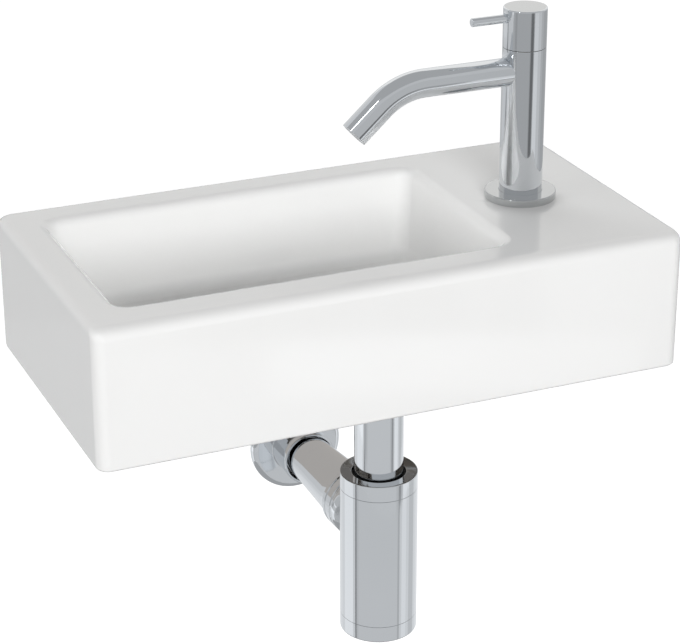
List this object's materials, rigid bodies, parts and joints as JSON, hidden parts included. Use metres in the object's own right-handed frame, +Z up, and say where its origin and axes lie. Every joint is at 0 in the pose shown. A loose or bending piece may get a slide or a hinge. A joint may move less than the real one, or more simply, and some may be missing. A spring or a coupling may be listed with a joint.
{
  "type": "hand basin",
  "caption": "Small rectangular wall-hung hand basin with a pillar tap, push-plug waste and chrome bottle trap.",
  "frame": {"origin": "on the wall plane, midway between the two wall bolts, 50 mm below the deck", "axes": "+X to the right along the wall as seen by the user, +Y into the wall along the bolts, +Z up"},
  "size_m": [0.385, 0.273, 0.4041],
  "materials": {
    "ceramic": "glossy white sanitary glaze",
    "chrome": "polished chrome plate",
    "brass": "machined brass",
    "zinc_steel": "bright zinc plate",
    "dark_steel": "oiled dark steel",
    "steel_mesh": "fine perforated steel",
    "black_rubber": "matt black rubber",
    "white_plastic": "natural white nylon",
    "grey_plastic": "grey acetal",
    "valve_ceramic": "lapped alumina"
  },
  "bodies": {
    "basin_set": {"basin": "ceramic", "wall_bolts": "zinc_steel", "fixing_bushes": "white_plastic", "fixing_washers": "zinc_steel", "fixing_nuts": "zinc_steel", "tap_base_seal": "black_rubber", "tap_base_ring": "chrome", "tap_body": "chrome", "tap_spout": "chrome", "aerator_sleeve": "grey_plastic", "aerator_screen": "steel_mesh", "tap_shank": "brass", "tap_rubber_washer": "black_rubber", "tap_steel_washer": "zinc_steel", "tap_backnut": "brass", "headwork_body": "brass", "headwork_seal": "black_rubber", "seat_seal": "black_rubber", "fixed_disc": "valve_ceramic", "spindle_seal": "black_rubber", "waste_top_seal": "black_rubber", "waste_body": "chrome", "waste_under_seal": "black_rubber", "waste_washer": "white_plastic", "waste_backnut": "brass", "plug_guide": "white_plastic", "tail_pipe_nut": "chrome", "tail_pipe_seal": "black_rubber", "tail_pipe": "chrome", "trap_collar": "chrome", "trap_top_seal": "black_rubber", "trap_body": "chrome", "cup_seal": "black_rubber", "trap_cup": "chrome", "outlet_nut": "chrome", "outlet_seal": "black_rubber", "outlet_pipe": "chrome", "wall_rosette": "chrome"},
    "handle": {"tap_handle": "chrome", "handle_lever": "chrome", "grub_screw": "dark_steel", "valve_spindle": "brass", "turning_disc": "valve_ceramic"},
    "plug": {"waste_plug": "chrome", "plug_seal": "black_rubber", "plug_stem": "zinc_steel"}
  },
  "joints": [
    {"name": "handle_turn", "type": "hinge", "parent": "basin_set", "child": "handle", "pos_m": [0.1287, -0.104, 0.163], "axis": [0, 0, 1], "range_deg": [0, 90]},
    {"name": "plug_push", "type": "slide", "parent": "basin_set", "child": "plug", "axis": [0, 0, 1], "range_m": [-0.008, 0]}
  ]
}
